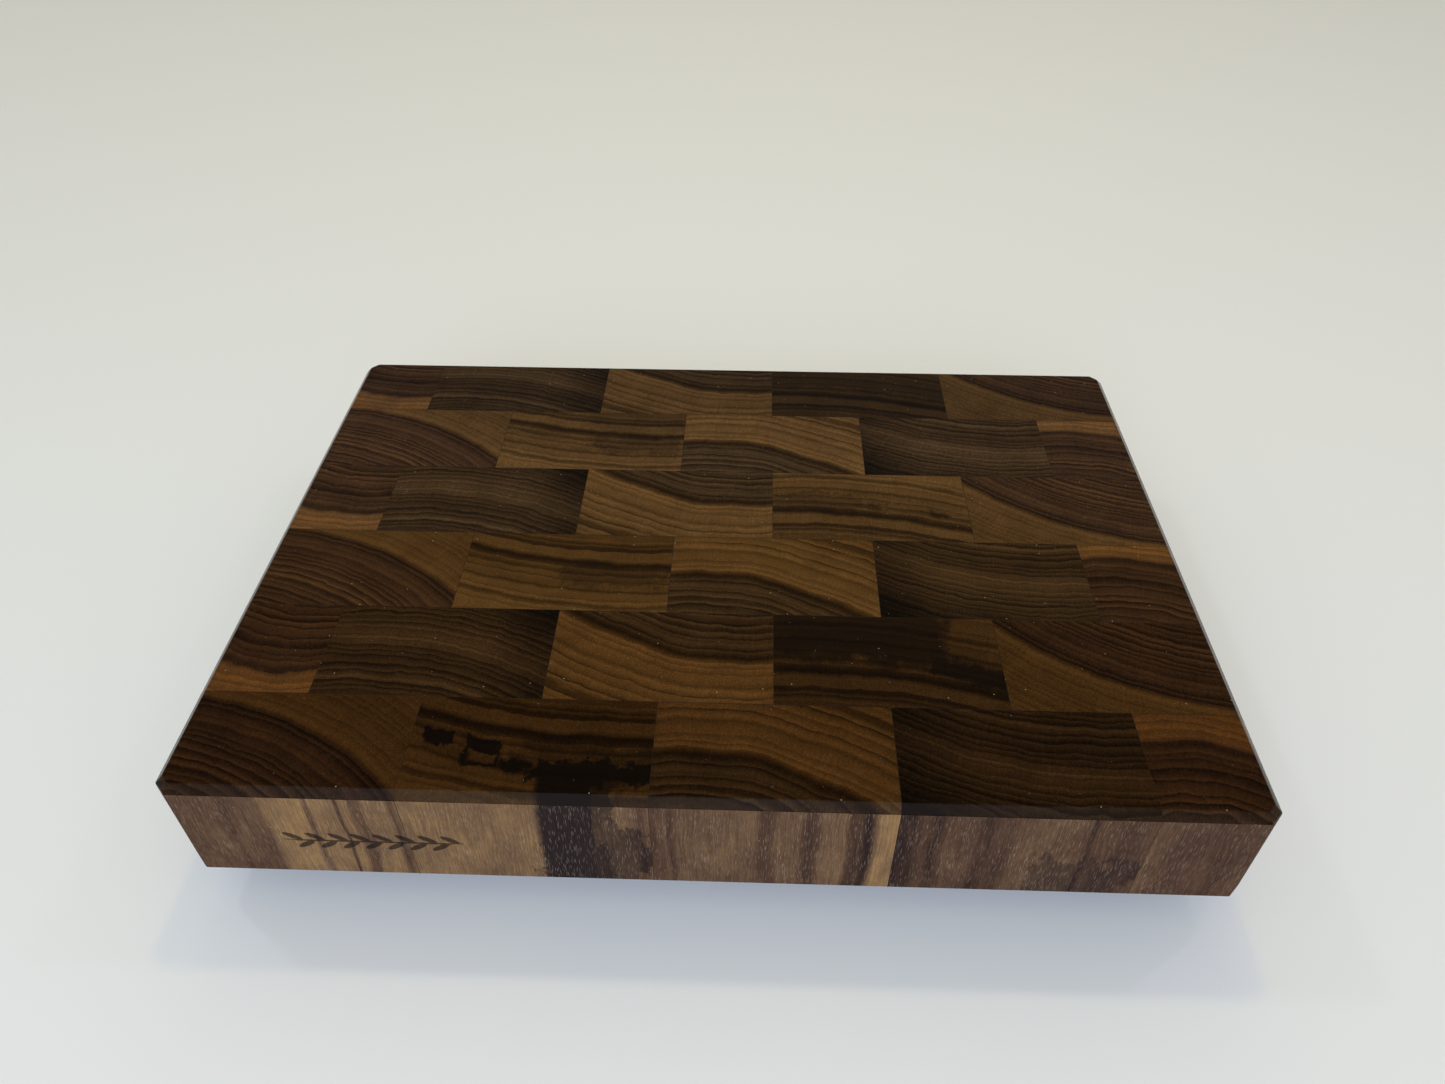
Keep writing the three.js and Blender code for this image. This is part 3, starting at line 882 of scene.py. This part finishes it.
HEAD_CROWN = 9.0
HEAD_RADIUS = 4.1
HEAD_ROUND = 1.0
HEAD_EDGE = 0.2
SCREW_CORE = 1.5
SCREW_CREST = 2.1
SCREW_PITCH = 2.0
SCREW_TURNS = 8
FIRST_TURN = 17.3
SCREW_TAPER = 33.3
SCREW_POINT = 36.8
CROSS_LENGTH = 4.6
CROSS_WIDTH = 1.0
CROSS_HEIGHT = 3.2
CROSS_NARROWING = (0.6, 0.8)


def turned(profile, segments):
    """A solid of revolution about Z from (radius, height) points in millimetres. The profile
    closes on itself, or starts and ends on the axis."""
    made = bmesh.new()
    points = [made.verts.new((radius * MM, 0.0, height * MM)) for radius, height in profile]
    edges = [made.edges.new(pair) for pair in zip(points, points[1:])]
    if profile[0][0] > 0.0:
        edges.append(made.edges.new((points[-1], points[0])))
    bmesh.ops.spin(
        made, geom=points + edges, cent=(0, 0, 0), axis=(0, 0, 1), angle=math.tau,
        steps=segments, use_merge=True,
    )
    bmesh.ops.remove_doubles(made, verts=made.verts, dist=0.001 * MM)
    bmesh.ops.recalc_face_normals(made, faces=made.faces)
    return made


def arc(centre, radius, start, end, count):
    """Points on an arc, with its angles in degrees from the outward direction."""
    points = []
    for index in range(count + 1):
        angle = math.radians(start + (end - start) * index / count)
        points.append((centre[0] + radius * math.cos(angle), centre[1] + radius * math.sin(angle)))
    return points


def foot_profile():
    """A tapered rubber bumper with a deep recess for the screw and two grip grooves."""
    taper = (FOOT_TOP_RADIUS - FOOT_BOTTOM_RADIUS) / (FOOT_FLANK_TOP - FOOT_BOTTOM_ROUND)
    clear = 0.1
    grooves = []
    for height in GROOVE_HEIGHTS:
        radius = FOOT_BOTTOM_RADIUS + taper * (height - FOOT_BOTTOM_ROUND)
        grooves += arc((radius + clear, height), GROOVE_ROUND, 270, 90, 6)
    lip = (RECESS_RADIUS + RECESS_ROUND, RECESS_ROUND)
    bottom = (FOOT_BOTTOM_RADIUS - FOOT_BOTTOM_ROUND, FOOT_BOTTOM_ROUND)
    top = (FOOT_TOP_RADIUS - FOOT_TOP_ROUND, FOOT_HEIGHT - FOOT_TOP_ROUND)
    return [
        *arc(lip, RECESS_ROUND, 180, 270, 4),
        *arc(bottom, FOOT_BOTTOM_ROUND, 270, 360, 6),
        *grooves,
        *arc(top, FOOT_TOP_ROUND, 0, 90, 4),
        (BORE_RADIUS, FOOT_HEIGHT),
        (BORE_RADIUS, SEAT),
        (RECESS_RADIUS, SEAT),
    ]


def washer_profile():
    """A flat washer against the seat, with rounded edges and a broken corner in its hole."""
    centre = WASHER_RADIUS - WASHER_EDGE
    return [
        (BORE_RADIUS, WASHER_BOTTOM + WASHER_EDGE),
        (BORE_RADIUS + WASHER_EDGE, WASHER_BOTTOM),
        *arc((centre, WASHER_BOTTOM + WASHER_EDGE), WASHER_EDGE, 270, 360, 3),
        *arc((centre, SEAT - WASHER_EDGE), WASHER_EDGE, 0, 90, 3),
        (BORE_RADIUS, SEAT),
    ]


def screw_profile():
    """A pan-head screw, point up, with the crown of its head down."""
    root_end = 0.7
    crest_start = 1.25
    crest_end = 1.35
    threads = []
    for turn in range(SCREW_TURNS):
        root = FIRST_TURN + SCREW_PITCH * turn
        threads += [
            (SCREW_CORE, root),
            (SCREW_CORE, root + root_end),
            (SCREW_CREST, root + crest_start),
            (SCREW_CREST, root + crest_end),
        ]
    return [
        (0.0, HEAD_CROWN),
        (1.6, HEAD_CROWN + 0.05),
        (2.8, HEAD_CROWN + 0.35),
        *arc((HEAD_RADIUS - HEAD_ROUND, HEAD_CROWN + 1.4), HEAD_ROUND, 290, 360, 5),
        (HEAD_RADIUS, WASHER_BOTTOM - HEAD_EDGE),
        (HEAD_RADIUS - HEAD_EDGE, WASHER_BOTTOM),
        (SCREW_CORE, WASHER_BOTTOM),
        *threads,
        (SCREW_CORE, SCREW_TAPER),
        (0.0, SCREW_POINT),
    ]


def cut_cross(made):
    """Cuts a cross recess into the crown of a screw's head, with slightly tapered walls."""
    bar_size = (CROSS_LENGTH * MM, CROSS_WIDTH * MM, CROSS_HEIGHT * MM)
    cutter = bmesh.new()
    for turn in (0.0, 90.0):
        bar = bmesh.ops.create_cube(cutter, size=1.0)["verts"]
        bmesh.ops.scale(cutter, vec=bar_size, verts=bar)
        for vertex in bar:
            if vertex.co.z > 0:
                vertex.co.x *= CROSS_NARROWING[0]
                vertex.co.y *= CROSS_NARROWING[1]
        bmesh.ops.rotate(
            cutter, cent=(0, 0, 0), verts=bar,
            matrix=Euler((0.0, 0.0, math.radians(turn))).to_matrix(),
        )
        bmesh.ops.translate(cutter, vec=(0.0, 0.0, HEAD_CROWN * MM), verts=bar)
    pieces = []
    for name, shape in (("screw_blank", made), ("cross_punch", cutter)):
        pieces.append(placed(name, mesh_from(shape, name)))
    blank, punch = pieces
    cut = blank.modifiers.new("cross", "BOOLEAN")
    cut.operation = "DIFFERENCE"
    cut.solver = "EXACT"
    cut.use_self = True
    cut.object = punch
    whole = blank.evaluated_get(bpy.context.evaluated_depsgraph_get())
    result = bmesh.new()
    result.from_mesh(whole.data)
    for piece in pieces:
        bpy.data.objects.remove(piece)
    return result


def build_feet():
    kinds = {
        "foot": (
            turned(foot_profile(), segments=72),
            foot_rubber(),
            "foot_rubber",
        ),
        "washer": (
            turned(washer_profile(), segments=64),
            steel("zinc_plated_steel", colour=(0.42, 0.43, 0.45), roughness=0.38),
            "washer_steel",
        ),
        "screw": (
            cut_cross(turned(screw_profile(), segments=40)),
            steel("stainless_steel", colour=(0.55, 0.56, 0.57), roughness=0.26),
            "screw_steel",
        ),
    }
    for place in FOOT_PLACES:
        low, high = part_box(f"foot_{place}")
        middle = Vector(((low.x + high.x) / 2, (low.y + high.y) / 2, 0.0))
        for kind, (shape, material, slot_name) in kinds.items():
            made = shape.copy()
            bmesh.ops.translate(made, vec=middle, verts=made.verts)
            piece = object_from(made, f"{place}_{kind}", material, f"{kind}_{place}")
            for polygon in piece.data.polygons:
                polygon.use_smooth = True
            piece.data.set_sharp_from_angle(angle=math.radians(30))
    for shape, _, _ in kinds.values():
        shape.free()


build_feet()


# --- Floor, lights and camera ---

def build_floor():
    half_width = 20.0
    made = bmesh.new()
    bmesh.ops.create_grid(made, x_segments=1, y_segments=1, size=half_width)
    floor = placed("floor", mesh_from(made, "floor"))
    material, _, shader = new_material("pale_floor")
    shader.inputs["Base Color"].default_value = (0.80, 0.79, 0.75, 1.0)
    shader.inputs["Roughness"].default_value = 0.55
    floor.data.materials.append(material)


def area_light(name, place, size, power, colour):
    """A soft square lamp, in metres and watts, aimed at the middle of the board's top."""
    light = bpy.data.lights.new(name, "AREA")
    light.shape = "SQUARE"
    light.size = size
    light.energy = power
    light.color = colour
    made = placed(name, light)
    made.location = place
    aim = Vector((0.0, 0.0, BOARD_HIGH.z)) - made.location
    made.rotation_euler = aim.to_track_quat("-Z", "Y").to_euler()


def build_lights():
    """A pale room, three small lamps above the board, a window before it and one lamp behind."""
    world = bpy.data.worlds.new("soft_room")
    world.use_nodes = True
    background = world.node_tree.nodes["Background"]
    background.inputs["Color"].default_value = (0.99, 1.0, 0.86, 1.0)
    background.inputs["Strength"].default_value = 0.51
    bpy.context.scene.world = world
    small = {
        "left_lamp": ((-1.79, 0.99, 2.65), 0.20, 5.8, (0.80, 0.86, 1.0)),
        "middle_lamp": ((0.066, 0.487, 1.479), 0.09, 2.05, (1.0, 0.84, 0.15)),
        "right_lamp": ((1.07, 0.48, 1.45), 0.10, 1.25, (0.85, 0.65, 1.0)),
    }
    large = {
        "window": ((-0.2, -2.0, 1.5), 2.0, 53.0, (0.60, 0.71, 1.0)),
        "back_lamp": ((0.0, 2.6, 2.2), 2.0, 7.0, (1.0, 0.75, 0.55)),
    }
    for name, (place, size, power, colour) in {**small, **large}.items():
        area_light(name, place, size, power, colour)


def build_camera():
    """Looks down on the board from above and before its front. The tilt is from straight down."""
    tilt = math.radians(48.11)
    roll = math.radians(0.05)
    turn = math.radians(1.84)
    height_over_board = 0.3177
    camera = bpy.data.cameras.new("camera")
    camera.lens = 26.19
    made = placed("camera", camera)
    made.location = (0.0113, -0.3571, BOARD_HIGH.z + height_over_board)
    made.rotation_euler = Euler((tilt, roll, turn), "XYZ")
    bpy.context.scene.camera = made


build_floor()
build_lights()
build_camera()
bpy.context.scene.view_settings.view_transform = "Standard"
